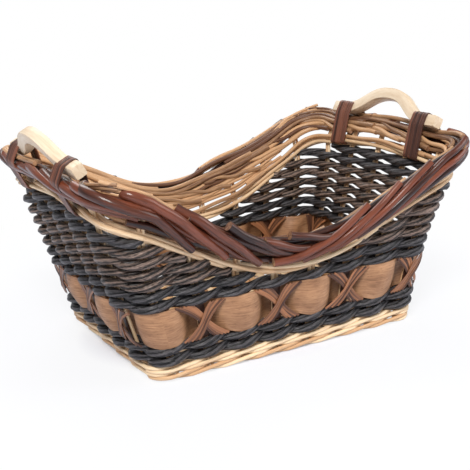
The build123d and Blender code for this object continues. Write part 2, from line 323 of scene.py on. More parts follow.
# Shader groups; noises take their scale, detail and roughness

def colour(*picture):
    # picture values 0 to 255 as linear light
    shares = (c / 255 for c in picture)
    return tuple(c / 12.92 if c <= 10 / 255 else ((c + 0.055) / 1.055) ** 2.4 for c in shares) + (1.0,)


def makeGroup(name, colours, numbers):
    group = bpy.data.node_groups.new(name, "ShaderNodeTree")
    for way, kind, labels in (("INPUT", "Color", colours), ("INPUT", "Float", numbers),
                              ("OUTPUT", "Color", ["Color"]), ("OUTPUT", "Float", ["Roughness", "Height"])):
        for label in labels:
            group.interface.new_socket(label, in_out=way, socket_type="NodeSocket" + kind)
    return group, group.nodes.new("NodeGroupInput"), group.nodes.new("NodeGroupOutput")


def wire(tree, socket, value):
    if isinstance(value, bpy.types.NodeSocket):
        tree.links.new(value, socket)
    else:
        socket.default_value = value


def wireAll(tree, node, **values):
    for label, value in values.items():
        wire(tree, node.inputs[label], value)


def calc(tree, operation, *values):
    node = tree.nodes.new("ShaderNodeMath")
    node.operation = operation
    for socket, value in zip(node.inputs, values):
        wire(tree, socket, value)
    return node.outputs[0]


def plus(tree, a, b):
    return calc(tree, "ADD", a, b)


def times(tree, a, b):
    return calc(tree, "MULTIPLY", a, b)


def vectorCalc(tree, operation, vector, other=(0.0, 0.0, 0.0)):
    node = tree.nodes.new("ShaderNodeVectorMath")
    node.operation = operation
    tree.links.new(vector, node.inputs[0])
    node.inputs[1].default_value = other
    return node.outputs["Value" if operation == "LENGTH" else "Vector"]


def blendColours(tree, share, a, b):
    node = tree.nodes.new("ShaderNodeMix")
    node.data_type = "RGBA"
    wireAll(tree, node, Factor=share, A=a, B=b)
    return node.outputs["Result"]


def spread(tree, value, low, high, newLow=0.0, newHigh=1.0):
    node = tree.nodes.new("ShaderNodeMapRange")
    wireAll(tree, node, **{
        "Value": value, "From Min": low, "From Max": high, "To Min": newLow, "To Max": newHigh})
    return node.outputs["Result"]


def noise(tree, vector, scale, detail, roughness):
    node = tree.nodes.new("ShaderNodeTexNoise")
    wireAll(tree, node, Vector=vector, Scale=scale, Detail=detail, Roughness=roughness)
    return node.outputs["Fac"]


def strandMap(tree):
    place = tree.nodes.new("ShaderNodeUVMap")
    place.uv_map = "strand"
    return place.outputs["UV"]


def strandPlace(tree, girth, stretch):
    # a seamless space round a strand: girth scales round it and stretch along it
    split = tree.nodes.new("ShaderNodeSeparateXYZ")
    tree.links.new(strandMap(tree), split.inputs[0])
    along, around = split.outputs[0], split.outputs[1]
    angle = times(tree, around, 2 * pi)
    join = tree.nodes.new("ShaderNodeCombineXYZ")
    wireAll(tree, join, X=times(tree, calc(tree, "COSINE", angle), girth),
            Y=times(tree, calc(tree, "SINE", angle), girth), Z=times(tree, along, stretch))
    return join.outputs[0], along, around


def toned(tree, value, amount):
    # each strand's own tone makes it lighter or darker than the next
    node = tree.nodes.new("ShaderNodeAttribute")
    node.attribute_name = "tone"
    return calc(tree, "MULTIPLY_ADD", calc(tree, "SUBTRACT", node.outputs["Fac"], 0.5), amount, value)


def waveOf(tree, turns):
    return calc(tree, "ABSOLUTE", calc(tree, "SINE", times(tree, turns, pi)))


def makeRodGrain():
    # bark or wood along a rod: long streaks, blotches and small marks
    tree, start, end = makeGroup("rodGrain", ["Light", "Dark"], ["Girth", "Stretch", "Marks", "Tone spread"])
    light, dark, girth, stretch, marking, toneSpread = list(start.outputs)[:6]
    place, _, _ = strandPlace(tree, girth, stretch)
    streaks = noise(tree, place, 1.6, 6.0, 0.65)
    blotches = noise(tree, place, 0.35, 3.0, 0.5)
    marks = spread(tree, noise(tree, place, 5.0, 2.0, 0.5), 0.62, 0.74)
    mixed = plus(tree, times(tree, streaks, 0.6), times(tree, blotches, 0.7))
    base = blendColours(tree, spread(tree, toned(tree, mixed, toneSpread), 0.46, 0.84), light, dark)
    wireAll(tree, end, Color=blendColours(tree, times(tree, marks, marking), base, dark),
            Roughness=spread(tree, streaks, 0.3, 0.7, 0.38, 0.62),
            Height=calc(tree, "SUBTRACT", streaks, times(tree, marks, 0.4)))
    return tree


def makePaperTwist():
    # paper twisted into a rope: slanting folds, with painted highlight on the crests and painted shade in the
    # folds
    tree, start, end = makeGroup("paperTwist", ["Crest highlight", "Fold shade"], ["Turns per metre", "Tone spread"])
    crestHighlight, foldShade, perMetre, toneSpread = list(start.outputs)[:4]
    place, along, around = strandPlace(tree, 1.3, 110.0)
    wobble = noise(tree, place, 1.1, 3.0, 0.5)
    turns = times(tree, along, perMetre)
    folds = plus(tree, plus(tree, turns, times(tree, around, 5.0)), times(tree, wobble, 0.8))
    slant = plus(tree, times(tree, around, 15.0), times(tree, wobble, 2.0))
    wrinkles = plus(tree, times(tree, turns, 3.0), slant)
    height = plus(tree, times(tree, waveOf(tree, folds), 0.7), times(tree, waveOf(tree, wrinkles), 0.25))
    speck = noise(tree, place, 4.0, 3.0, 0.6)
    # the fold height sets the colour: painted highlight where it is high, painted shade where it is low
    lit = calc(tree, "POWER", times(tree, plus(tree, height, speck), 0.64), 2.6)
    share = spread(tree, toned(tree, lit, toneSpread), 0.12, 0.85)
    wireAll(tree, end, Color=blendColours(tree, share, foldShade, crestHighlight),
            Roughness=spread(tree, speck, 0.3, 0.7, 0.26, 0.52), Height=height)
    return tree


def makeChipGrain():
    # a flat split chip: fine lines along it, cloudy patches and flecks
    tree, start, end = makeGroup("chipGrain", ["Light", "Dark"], [])
    light, dark = list(start.outputs)[:2]
    lines, clouds, flecks = (
        noise(tree, vectorCalc(tree, "MULTIPLY", strandMap(tree), stretch), 1.0, detail, roughness)
        for stretch, detail, roughness in (
            ((60.0, 900.0, 1.0), 5.0, 0.6), ((40.0, 90.0, 1.0), 4.0, 0.6), ((220.0, 1100.0, 1.0), 2.0, 0.5)))
    mixed = plus(tree, times(tree, lines, 0.5), times(tree, clouds, 0.6))
    share = plus(tree, spread(tree, mixed, 0.4, 0.75), times(tree, spread(tree, flecks, 0.62, 0.72), 0.35))
    wireAll(tree, end, Color=blendColours(tree, share, light, dark),
            Roughness=spread(tree, lines, 0.3, 0.7, 0.45, 0.65), Height=lines)
    return tree


rodGrain, paperTwist, chipGrain = makeRodGrain(), makePaperTwist(), makeChipGrain()


def makeMaterial(name, group, values, bump, bumpDepth=0.0004, specular=0.5, coat=0.0, coatRoughness=0.3):
    material = bpy.data.materials.new(name)
    material.use_nodes = True
    tree = material.node_tree
    shader = tree.nodes["Principled BSDF"]
    effect = tree.nodes.new("ShaderNodeGroup")
    effect.node_tree = group
    wireAll(tree, effect, **values)
    rise = tree.nodes.new("ShaderNodeBump")
    wireAll(tree, rise, Strength=bump, Distance=bumpDepth, Height=effect.outputs["Height"])
    wireAll(tree, shader, **{
        "Base Color": effect.outputs["Color"], "Roughness": effect.outputs["Roughness"],
        "Normal": rise.outputs["Normal"], "Specular IOR Level": specular,
        "Coat Weight": coat, "Coat Roughness": coatRoughness})
    return material


def paperMaterial(name, crestHighlight, foldShade, toneSpread):
    return makeMaterial(name, paperTwist, {
        "Crest highlight": colour(*crestHighlight), "Fold shade": colour(*foldShade), "Turns per metre": 42.0,
        "Tone spread": toneSpread,
    }, bump=1.0, bumpDepth=0.0013, specular=0.4)


def rodMaterial(name, light, dark, girth, stretch, marks, toneSpread, bump, **finish):
    return makeMaterial(name, rodGrain, {
        "Light": colour(*light), "Dark": colour(*dark), "Girth": girth, "Stretch": stretch, "Marks": marks,
        "Tone spread": toneSpread,
    }, bump, **finish)


# the crest tints are painted highlights and the fold tints painted shade
blackPaper = paperMaterial("blackPaper", (88, 85, 88), (5, 5, 6), 0.4)
greyPaper = paperMaterial("greyPaper", (146, 124, 112), (20, 15, 13), 0.6)
chipWood = makeMaterial("chipWood", chipGrain, {
    "Light": colour(186, 140, 102), "Dark": colour(112, 73, 48),
}, bump=0.35)
# light and dark tint, girth, stretch, marks, tone spread and bump
buffCane = rodMaterial("buffCane", (240, 212, 174), (204, 162, 120), 2.0, 70.0, 0.35, 0.6, 0.3)
naturalWillow = rodMaterial("naturalWillow", (206, 162, 120), (98, 62, 40), 1.6, 45.0, 0.4, 0.8, 0.35, coat=0.15)
stainedWillow = rodMaterial("stainedWillow", (118, 60, 38), (34, 13, 8), 1.8, 36.0, 0.6, 0.45, 0.5,
                            specular=0.2, coat=0.6, coatRoughness=0.16)
barkStrip = rodMaterial("barkStrip", (160, 106, 70), (66, 36, 22), 3.0, 50.0, 0.4, 0.7, 0.35, coat=0.1)
lashBark = rodMaterial("lashBark", (128, 78, 58), (56, 28, 20), 3.0, 50.0, 0.4, 0.6, 0.35, coat=0.15)
cutWood = rodMaterial("cutWood", (196, 150, 112), (96, 60, 42), 3.0, 30.0, 0.6, 0.4, 0.3)
handleWood = rodMaterial("handleWood", (244, 228, 204), (212, 184, 150), 2.5, 26.0, 0.25, 0.2, 0.2, coat=0.1)
print("materials made")

rng = random.Random(7)


def wobbled(tone, amount=0.25):
    return clipped(tone + rng.uniform(-amount, amount))


# Twined rope rows
rope = {"strand": 3.9, "slim": 1.1, "swing": 5.6, "climb": 1.7, "proud": 0.5, "pitch": 10.3, "blackPitch": 9.6,
        "diameter": 9.2, "steps": 12, "lobes": 4, "lobeDepth": 0.11, "lobePitch": 30.0, "sides": 18, "rows": 8,
        "underRim": 0.5, "limit": 7.0, "search": 0.02, "tipReach": 0.05, "tipSteps": 6, "tipBulge": 3.4}
foot = {"low": 0.1, "rodRadius": 1.75, "swing": 4.8, "climb": 2.3, "bandGap": 6.1, "turns": 9, "steps": 12,
        "flat": 1.2, "top": 13.7}
layerGap, chipHeight = 0.4, 30.0
halfRow = rope["diameter"] / 2
blackHeights = [foot["top"] + layerGap + halfRow]
blackHeights.append(blackHeights[0] + rope["blackPitch"])
chipLow = blackHeights[1] + halfRow + layerGap
chipHigh = chipLow + chipHeight
rowHeights = [chipHigh + layerGap + halfRow + rope["pitch"] * n for n in range(rope["rows"])]


def twineStrand(stations, z, phase):
    # a strand's line and radii as it goes in and out of the stakes
    points, girths = [], []
    for k in stations:
        angle = pi * (k - phase)
        out = rope["swing"] * cos(angle) + rope["proud"]
        points.append(wallPoint(k, z + rope["climb"] * sin(angle), out))
        girths.append(rope["strand"] - rope["slim"] * sin(angle) ** 2)
    return points, girths


def addRope(skin, points, girths):
    addTube(skin, points, girths, rope["sides"], True, wobbled(0.5),
            rope["lobes"], rope["lobeDepth"], rope["lobePitch"])


def ropeRing(name, z, node):
    skin = newSkin()
    for phase in (0, 1):
        addRope(skin, *twineStrand(stationsRound(rope["steps"]), z, phase))
    makePiece(name, skin, [blackPaper], [node])


def reachOfRow(z, middle):
    # how many stake spaces the row runs from the end's middle before the rim closes on it
    top = z + halfRow + rope["underRim"]
    n = 0.0
    while n < rope["limit"]:
        at = (middle + n) % stakeCount * rim["steps"]
        if rimSpots[int(at)][2] < top:
            break
        n += rope["search"]
    return n


def rowTip(leave, enter, ahead):
    # the turned end of a row, from one strand's last point to the other's
    ahead = ahead / norm(ahead)
    bulge = max(rope["tipBulge"], norm(enter - leave) / 2)
    count = rope["tipSteps"] + 1
    shares = [step / count for step in range(1, count)]
    return [leave * (1 - t) + enter * t + ahead * bulge * sin(pi * t) for t in shares]


def ropeTurnback(word, number, middle, material, slot):
    # a row round one end, whose two strands meet in a turned tip at each side
    z = rowHeights[number - 1]
    reach = reachOfRow(z, middle) + rope["tipReach"]
    count = int(2 * reach * rope["steps"])
    stations = [middle - reach + 2 * reach * n / count for n in range(count + 1)]
    first, firstGirths = twineStrand(stations, z, 0)
    second, secondGirths = twineStrand(stations, z, 1)
    tipGirths = [rope["strand"] - rope["slim"]] * rope["tipSteps"]
    loop = first + rowTip(first[-1], second[-1], first[-1] - first[-4])
    loop += second[::-1] + rowTip(second[0], first[0], second[0] - second[3])
    skin = newSkin()
    addRope(skin, loop, firstGirths + tipGirths + secondGirths[::-1] + tipGirths)
    makePiece(f"{word}Row{number}", skin, [material], [f"{word.lower()}_row_{number}"])


ropeRing("BlackRowLower", blackHeights[0], "black_row_lower")
ropeRing("BlackRowUpper", blackHeights[1], "black_row_upper")
ropeRing("WallRow1", rowHeights[0], "wall_row_1")
for number in range(2, rope["rows"] + 1):
    look = (greyPaper, "grey_rope") if 3 <= number <= 6 else (blackPaper, "black_rope")
    ropeTurnback("Left", number, leftMiddle, *look)
    ropeTurnback("Right", number, rightMiddle, *look)
print("rope rows made")


# Foot wale: two bands of three cane rods, each rod over two stakes and behind the next
def footPoint(k, band, phase):
    u = (k * foot["turns"] / stakeCount - phase / 3) % 1.0
    out = foot["swing"] * max(-1.0, min(1.0, foot["flat"] * (cos(2 * pi * (u - 1 / 3)) + 0.5)))
    if u < 2 / 3:
        up = sin(2 * pi * (u - 1 / 3) * 0.75)
    else:
        up = cos(3 * pi * (u - 2 / 3))
    middle = foot["low"] + foot["rodRadius"] + foot["climb"] + band * foot["bandGap"]
    return wallPoint(k, middle + foot["climb"] * up, out)


def footWale():
    for pair, name in enumerate(("lower", "middle", "upper")):
        skin = newSkin()
        for rod in (2 * pair, 2 * pair + 1):
            points = [footPoint(k, rod // 3, rod % 3) for k in stationsRound(foot["steps"])]
            addTube(skin, points, foot["rodRadius"], 10, True, wobbled(0.5, 0.4))
        makePiece("FootWale" + name.capitalize(), skin, [buffCane], ["foot_wale_" + name])


footWale()


# Wood chip, in front of the odd stakes and behind the even ones
chip = {"swing": 10.6, "square": 0.5, "bias": 0.3, "smooth": 5, "thickness": 1.3, "steps": 12, "rows": 7,
        "overlap": 3.2, "overlapTop": 1.6, "rise": 2.6, "belly": 1.8, "edgeSwing": 0.82, "bowSwing": 0.18,
        "backFrom": 31.3, "wayRound": 64.0}


def chipPoint(k, share, inward):
    wave = (cos(pi * k) + chip["bias"]) / (1 + chip["bias"])
    side = 1 if wave > 0 else -1
    swing = chip["swing"] * side * abs(wave) ** chip["square"]
    proud = max(0.0, swing / chip["swing"])
    low = chipLow + chip["rise"] * 4 * proud * (1 - proud) - chip["overlap"] * proud ** 2
    high = chipHigh + chip["overlapTop"] * proud
    bow = 1 - (2 * share - 1) ** 2
    out = swing * (chip["edgeSwing"] + chip["bowSwing"] * bow) + chip["belly"] * bow * side - inward
    return wallPoint(k, low + (high - low) * share, out)


def chipBand():
    skin = newSkin()
    shares = [n / (chip["rows"] - 1) for n in range(chip["rows"])]
    rings = []
    for k in stationsRound(chip["steps"]):
        outer = [chipPoint(k, share, 0.0) for share in shares]
        inner = [chipPoint(k, share, chip["thickness"]) for share in reversed(shares)]
        rings.append(outer + inner)
    rings = np.array(rings)
    for _ in range(chip["smooth"]):  # a stiff chip rounds off the corners
        rings = (np.roll(rings, 1, axis=0) + 2 * rings + np.roll(rings, -1, axis=0)) / 4
    alongs = lengthsAlong(rings[:, chip["rows"] // 2], True) / 1000
    heights = [chipHeight * share for share in shares]
    arounds = np.array(heights + [chip["backFrom"] + h for h in heights] + [chip["wayRound"]]) / 1000
    addGrid(skin, rings, alongs, True, 0.5, arounds)
    makePiece("ChipBand", skin, [chipWood], ["chip_band"])


chipBand()


# Bark strips crossed over the stakes that the chip passes on the other side
cross = {"strips": 5, "width": 2.2, "thickness": 0.9, "reach": 0.42, "fan": 3.3, "pinch": 1.5, "proud": 6.6,
         "cornerShare": 0.75, "corners": (0, 7, 12), "overEdge": 1.0, "jitter": 0.5, "steps": 6,
         "lanes": 1.1, "space": 38.0, "upper": 0.9, "heap": 0.5, "ahead": 0.05}
# the same strips run straight up over the stake behind the crossing; their darker tone is painted shade under
# the crossing
upright = {"apart": 1.9, "proud": 2.6, "width": 4.6, "steps": 4}


def crossedStrips(word, stakes, side):
    skin = newSkin()
    middle = (chipLow + chipHigh) / 2
    half = (chipHigh - chipLow) / 2 + cross["overEdge"]
    thickness = cross["thickness"] * side
    for k in stakes:
        reach = cross["reach"] * (cross["cornerShare"] if k % halfRound in cross["corners"] else 1.0)
        for slant in (-1, 1):
            for n in range(cross["strips"]):
                lane = n - (cross["strips"] - 1) / 2
                jitter = rng.uniform(-cross["jitter"], cross["jitter"])
                points, wides = [], []
                for step in range(2 * cross["steps"] + 1):
                    t = step / cross["steps"] - 1
                    fan = cross["pinch"] + (cross["fan"] - cross["pinch"]) * abs(t) ** 1.5
                    sweep = slant * (reach + 0.02 * jitter) * (0.75 * t + 0.25 * t ** 3)
                    shift = (lane * fan * cross["lanes"] + jitter * abs(t)) / cross["space"]
                    lift = cross["proud"] * (1 - 0.12 * t * t) + (cross["upper"] if slant > 0 else 0.0)
                    lift += cross["heap"] * (1 - abs(t)) * abs(lane)
                    z = middle + half * t
                    points.append(wallPoint(k + sweep + shift, z, side * lift))
                    wides.append(wallPoint(k + sweep + shift + cross["ahead"], z, side * lift) - points[-1])
                addRibbon(skin, points, wides, cross["width"], thickness, False, wobbled(0.5, 0.45))
        for hand in (-1, 1):
            beside, out = k + hand * upright["apart"] / cross["space"], side * upright["proud"]
            heights = [middle + half * (n / upright["steps"] - 1) for n in range(2 * upright["steps"] + 1)]
            points = [wallPoint(beside, z, out) for z in heights]
            wides = [wallPoint(beside + cross["ahead"], p[2], out) - p for p in points]
            # the darker tone of these strips is painted shade
            addRibbon(skin, points, wides, upright["width"], thickness, False, wobbled(0.85, 0.15))
    makePiece(word + "CrossLashing", skin, [barkStrip], [word.lower() + "_cross_lashing"])


crossedStrips("Outer", range(1, stakeCount, 2), 1)
crossedStrips("Inner", range(0, stakeCount, 2), -1)
print("chip and strips made")


# How much taller the border stands, as shares of a rod's height; places and reaches in stake spaces
border = {"sideLift": 0.3, "endReach": 1.5, "ease": 1.4, "cornerPull": 0.4, "cornerReach": 1.6,
          "rearRise": 0.44, "rearMiddle": 15.2, "rearReach": 1.35}


def rearRise(k):
    # at the rear the border runs up to the corner in a straighter line than the wale under it
    return border["rearRise"] * exp(-((k % stakeCount - border["rearMiddle"]) / border["rearReach"]) ** 2)


# Stakes: two canes side by side, up into the border
stake = {"radius": 1.6, "apart": 1.85, "low": 0.8, "rise": 20.0, "jitter": (-3, 2), "rearShare": 1.6,
         "wallSteps": 14, "borderSteps": 4}


def stakeGroup(word, numbers):
    skin = newSkin()
    for k in numbers:
        top = rimPoint(k)[2]
        facing = facingAt(k, top)
        for hand in (-1, 1):
            tone = wobbled(0.5, 0.45)
            beside = np.array([-facing[1], facing[0], 0.0]) * hand * stake["apart"]
            shares = [n / stake["wallSteps"] for n in range(stake["wallSteps"])]
            points = [wallPoint(k, stake["low"] + (top - stake["low"]) * share) + beside for share in shares]
            rise = (stake["rise"] + rng.uniform(*stake["jitter"])) * (1 + stake["rearShare"] * rearRise(k))
            steps = stake["borderSteps"]
            points += [rimPoint(k, rise * n / steps) + beside for n in range(steps + 1)]
            addTube(skin, points, stake["radius"], 8, False, tone)
    makePiece("Stakes" + word, skin, [buffCane], ["stakes_" + word.lower()])


stakeGroup("Front", range(0, 8))
stakeGroup("Right", range(8, 13))
stakeGroup("Rear", range(13, 21))
stakeGroup("Left", range(21, 26))


# Rim wale: cane rods winding together along the rim line
wale = {"rods": 4, "radius": 2.0, "swing": 5.2, "climb": 2.8, "turns": 3, "steps": 10, "middle": 2.2}


def rimWale():
    for pair, word in enumerate(("Outer", "Inner")):
        skin = newSkin()
        for phase in (pair, pair + 2):
            points = []
            for k in stationsRound(wale["steps"]):
                angle = 2 * pi * (k * wale["turns"] / stakeCount - phase / wale["rods"])
                up = wale["middle"] - wale["climb"] * sin(angle)
                points.append(rimPoint(k, up, wale["swing"] * cos(angle)))
            addTube(skin, points, wale["radius"], 10, True, wobbled(0.4, 0.3))
        makePiece("RimWale" + word, skin, [buffCane], ["rim_wale_" + word.lower()])


rimWale()
print("stakes and wale made")


# Where a handle's foot stands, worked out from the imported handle's box
handle = {"width": 11.0, "thickness": 11.5, "edge": 1.5, "halfLength": 81.0, "footBend": 47.0, "shoulder": 19.0,
          "rise": 22.0, "tilt": 28.0, "easing": 130, "cadEdge": 2.0, "steps": 24, "bevel": 0.3, "crown": 0.3,
          "belly": 0.15, "endShrink": 0.1, "jitter": 0.02, "waves": 0.09, "sharp": 40.0}
press = {"from": 34.0, "to": 94.0, "ease": 10.0, "clearance": 1.0, "edge": 3.0}
handleBox = [[c * 1000 for c in corner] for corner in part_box("right_handle")]
tilt, cadEdge = radians(handle["tilt"]), handle["cadEdge"]
halfWide, halfDeep = handle["width"] / 2 - cadEdge, handle["thickness"] / 2 - cadEdge
baseZ = handleBox[0][2] + halfDeep * cos(tilt) + halfWide * sin(tilt) + cadEdge
baseX = handleBox[1][0] - halfWide * cos(tilt) - (handle["rise"] + halfDeep) * sin(tilt) - cadEdge


def clearOfFoot(point, radius):
    # a rod that would run through a handle's foot is pressed down under it
    along = abs(point[1])
    reach = clipped((along - press["from"]) / press["ease"]) * clipped((press["to"] - along) / press["ease"])
    side = 1 if point[0] > 0 else -1
    x, z = side * point[0] - baseX, point[2] - baseZ
    out, up = x * cos(tilt) - z * sin(tilt), x * sin(tilt) + z * cos(tilt)
    near = clipped((handle["width"] / 2 + radius + press["clearance"] - abs(out)) / press["edge"])
    depth = max(0.0, up + handle["thickness"] / 2 + radius) * near * reach
    return point - depth * np.array([side * sin(tilt), 0.0, cos(tilt)])


def liftAt(k):
    # the border stands taller over the long sides than over the ends
    far = min(spacesApart(k, middle) for middle in (rightMiddle, leftMiddle))
    return 1 + border["sideLift"] * eased((far - border["endReach"]) / border["ease"])


def nearCorner(k):
    # 1 at the rim's corners, falling to 0 beside them
    corners = [n * (wall["sideSpaces"] + wall["endSpaces"]) - wall["stakeShift"] for n in (0, 1)]
    corners += [corner + wall["sideSpaces"] for corner in corners]
    return eased(1 - min(spacesApart(k, corner) for corner in corners) / border["cornerReach"])


rodWave = {"height": 0.5, "out": 0.4, "turns": 2.3, "toneShift": 5, "sides": 12}


def addRod(skin, k, places, thick, thin, tone, steps=26):
    # start, middle and end as spaces on from stake k, height over the rim line and distance out
    start, middle, end = ((k + along, up, out) for along, up, out in places)
    points, radii = [], []
    for n in range(steps + 1):
        t = n / steps
        a, b, c = (1 - t) ** 2, 2 * t * (1 - t), t * t
        here, up, out = (a * start[i] + b * middle[i] + c * end[i] for i in range(3))
        wave = rodWave["height"] * sin(2 * pi * (t * rodWave["turns"] + tone * rodWave["toneShift"]))
        radii.append(thick + (thin - thick) * t)
        if out > 0:
            out *= 1 - border["cornerPull"] * nearCorner(here)
        height = (up + wave) * (liftAt(here) + rearRise(here))
        points.append(clearOfFoot(rimPoint(here, height, out + rodWave["out"] * wave), radii[-1]))
    addTube(skin, points, radii, rodWave["sides"], False, tone, capSlot=1)


def onFront(k):
    # from before the front left corner to the last space on the right
    return 25.0 < k % stakeCount or k % stakeCount < 7.4


# Stained rods outside the rim; a start is the stake space where a rod begins
outside = {"thick": 3.9, "thin": 2.4, "span": 2.5, "top": 26.0, "bottom": 9.0, "gap": 3.5, "proud": (11.0, 18.5),
             "starts": [7.2 + n * 0.85 for n in range(22)] + [0.0, 0.75, 1.6, 2.5, 3.1],
             "cornerTips": ((25.1, 5.0), (25.8, 7.0), (26.6, 8.0)),
             "rightFront": ((2.75, 10.0), (3.5, 11.0), (4.2, 12.0), (4.9, 12.0), (5.6, 12.0), (6.3, 12.0)),
             "lowFront": (2.9, 3.9, 4.9, 5.9), "behind": ((9.5, 3.4), (16.5, 2.4), (22.5, 1.0)),
             "behindCount": 9}


def borderOuter():
    skin = newSkin()
    thick, thin = outside["thick"], outside["thin"]
    # laid from the top edge down to the wale, one beside each stake
    for k in outside["starts"]:
        top = outside["top"] + rng.uniform(-4.0, 2.0)
        span = outside["span"] + rng.uniform(-0.6, 0.8)
        bottom = outside["bottom"] + (0.0 if onFront(k + 1) else outside["gap"]) + rng.uniform(-1.0, 1.0)
        proud = rng.uniform(*outside["proud"])
        places = ((0.0, top, 5.5), (span * 0.42, (top + bottom) / 2 + 2.5, proud), (span, bottom, 3.0))
        addRod(skin, k, places, thick + rng.uniform(-0.4, 0.5), thin, wobbled(0.5, 0.45))
    # rods that come over the top at the front left corner and turn down in front of the wale
    for k, tip in outside["cornerTips"]:
        addRod(skin, k, ((0.0, 27.0, -3.0), (0.5, 25.0, 24.0), (1.8, tip, 9.0)), 4.8, 3.6, wobbled(0.45, 0.3))
    # the right half of the front is laid the other way, from the low middle up to the corner
    for k, low in outside["rightFront"]:
        addRod(skin, k, ((0.0, low - 2.0, 9.5), (1.2, 16.0, 17.5), (2.4, 28.5, 4.0)),
               thick + rng.uniform(-0.3, 0.4), thin + 0.6, wobbled(0.5, 0.45))
    for k in outside["lowFront"]:
        addRod(skin, k, ((0.0, 8.5, 5.5), (1.6, 10.5, 10.5), (3.4, 13.0, 6.0)),
               thin + 0.8, thin, wobbled(0.7, 0.3))
    # a lower course behind, so that no gap shows through; its darker tone is painted shade in the gaps between
    # rods
    for k in evenly(outside["behindCount"]):
        for up, out in outside["behind"]:
            if up > 10.0 or onFront(k + 1.5):
                addRod(skin, k, ((-0.2, up, out), (1.5, up + 0.6, out), (3.1, up, out)),
                       3.4, 2.9, wobbled(0.8, 0.2))
    makePiece("BorderOuter", skin, [stainedWillow, cutWood],
              ["border_outer_lower", "border_outer_middle", "border_outer_upper"])


borderOuter()

# Natural rods inside the rim; a lane is a height over the rim line and a distance out
inside = {"thick": 2.6, "thin": 1.7, "perLane": 7, "laneShift": 1.37, "frontDrop": 7.0,
             "lanes": ((25.0, -5.0), (19.5, -4.0), (27.5, -1.0), (28.0, 3.5), (15.0, -5.5), (22.5, -6.5)),
             "corners": (12.65, 25.65), "perCorner": 3, "rearRods": 6, "lowRods": 9}


def borderInner():
    skin = newSkin()
    thick, thin = inside["thick"], inside["thin"]
    # short rods with a cut end beside each stake, slanting up to the top edge
    for k in range(stakeCount):
        start = (0.1 + rng.uniform(-0.15, 0.15), 13.0 + rng.uniform(-1, 1), -6.5)
        addRod(skin, k, (start, (1.0, 17.0, -9.5), (2.2, 24.5, -4.0)),
               thick + rng.uniform(-0.3, 0.3), thin, wobbled(0.5, 0.45))
    for lane, (up, out) in enumerate(inside["lanes"]):
        for start in evenly(inside["perLane"]):
            k = start + lane * inside["laneShift"] + rng.uniform(-0.2, 0.2)
            front = onFront(k + 2) or onFront(k) or onFront(k + 4)
            if front and lane > 1:  # the front shows only stained rods at its top
                continue
            top = up - (inside["frontDrop"] if front else 0.0)
            places = ((-0.4, top - 2.0, out - 1.5), (1.8, top + 1.5, out - 0.5), (4.1, top, out + 1.0))
            addRod(skin, k, places, thick + rng.uniform(-0.2, 0.4), thin + 0.3, wobbled(0.45, 0.4), 40)
    # thin rods that meet in a point over the rear right and front left corners
    for corner in inside["corners"]:
        for lane in range(inside["perCorner"]):
            reach, drop, tip, out = 2.6 + 0.5 * lane, 2 * lane, 3 * lane, lane - 3.0
            addRod(skin, corner, ((reach, 21.0 - drop, out), (1.0, 24.0, -2.0), (-0.1, 33.0 - tip, -1.0)),
                   2.3, 1.5, wobbled(0.5, 0.4))
            addRod(skin, corner, ((0.6 - reach, 23.0 - drop, out), (-0.9, 25.0, -2.0), (0.1, 32.0 - tip, -1.0)),
                   2.2, 1.5, wobbled(0.5, 0.4))
    # more of them in the taller part at the rear
    for lane in range(inside["rearRods"]):
        up, out = 8.5 + 2.0 * lane, -3.0 - 1.2 * (lane % 3)
        places = ((17.6 - 0.35 * lane, up + 2.0, out), (15.4, up + 1.0, out - 1.0),
                  (13.5 + 0.3 * (lane % 2), up - 1.0, out))
        addRod(skin, 0.0, places, 2.1, 1.5, wobbled(0.45, 0.5), 30)
    for start in evenly(inside["lowRods"]):
        k = start + rng.uniform(-0.2, 0.2)
        addRod(skin, k, ((-0.3, 6.3, -6.4), (1.6, 6.6, -8.0), (3.2, 7.5, -5.4)), 2.2, 1.7, wobbled(0.3, 0.3), 34)
    makePiece("BorderInner", skin, [naturalWillow, cutWood],
              ["border_inner_lower", "border_inner_middle", "border_inner_upper"])


borderInner()
print("border made")


# Bentwood handles
def handleLine():
    # corners of the stick's line, eased into bends
    corners = [(-handle["halfLength"], 0), (-handle["footBend"], 0), (-handle["shoulder"], handle["rise"])]
    corners += [(-y, z) for y, z in reversed(corners)]
    shares = [n / handle["steps"] for n in range(handle["steps"])]
    line = [(a[0] + (b[0] - a[0]) * share, a[1] + (b[1] - a[1]) * share)
            for a, b in zip(corners, corners[1:]) for share in shares]
    line = np.array(line + [corners[-1]])
    for _ in range(handle["easing"]):
        line[1:-1] = (line[:-2] + 2 * line[1:-1] + line[2:]) / 4
    return line


def handleSection():
    # a squared stick with bevelled edges and a slight crown over and under
    w, t, e, b = handle["width"] / 2, handle["thickness"] / 2, handle["edge"], handle["bevel"]
    half = [(w - e, -t), (w - b, b * e - t), (w, e - t), (w, t - e), (w - b, t - b * e), (w - e, t)]
    other = [(-x, y) for x, y in reversed(half)]
    return other[3:] + [(0, -t - handle["belly"])] + half + [(0, t + handle["crown"])] + other[:3]


def buildHandle(word, side):
    line = handleLine()
    tangents = tangentsAlong(line, False)
    rings = []
    for n, ((y, z), (ty, tz)) in enumerate(zip(line, tangents)):
        nearEnd = clipped(1 - min(n, len(line) - 1 - n) / 1.5)
        shrink = 1 - handle["endShrink"] * nearEnd
        ring = []
        for a, b in handleSection():
            swell = 1 + handle["jitter"] * sin(y * handle["waves"] + a)
            px, py, pz = a * shrink * swell, y - tz * b * shrink, z + ty * b * shrink * swell
            x = px * cos(tilt) + pz * sin(tilt)
            ring.append((side * (baseX + x), side * py, baseZ + pz * cos(tilt) - px * sin(tilt)))
        rings.append(ring)
    rings = np.array(rings)
    skin = newSkin()
    lengths = lengthsAlong(rings[:, 0, :], False)
    addGrid(skin, rings, (lengths + (300 if side > 0 else 900)) / 1000, False, 0.5)
    addCaps(skin, rings, 0.5)
    makePiece(word + "Handle", skin, [handleWood], [word.lower() + "_handle"], handle["sharp"])


buildHandle("Right", 1)
buildHandle("Left", -1)

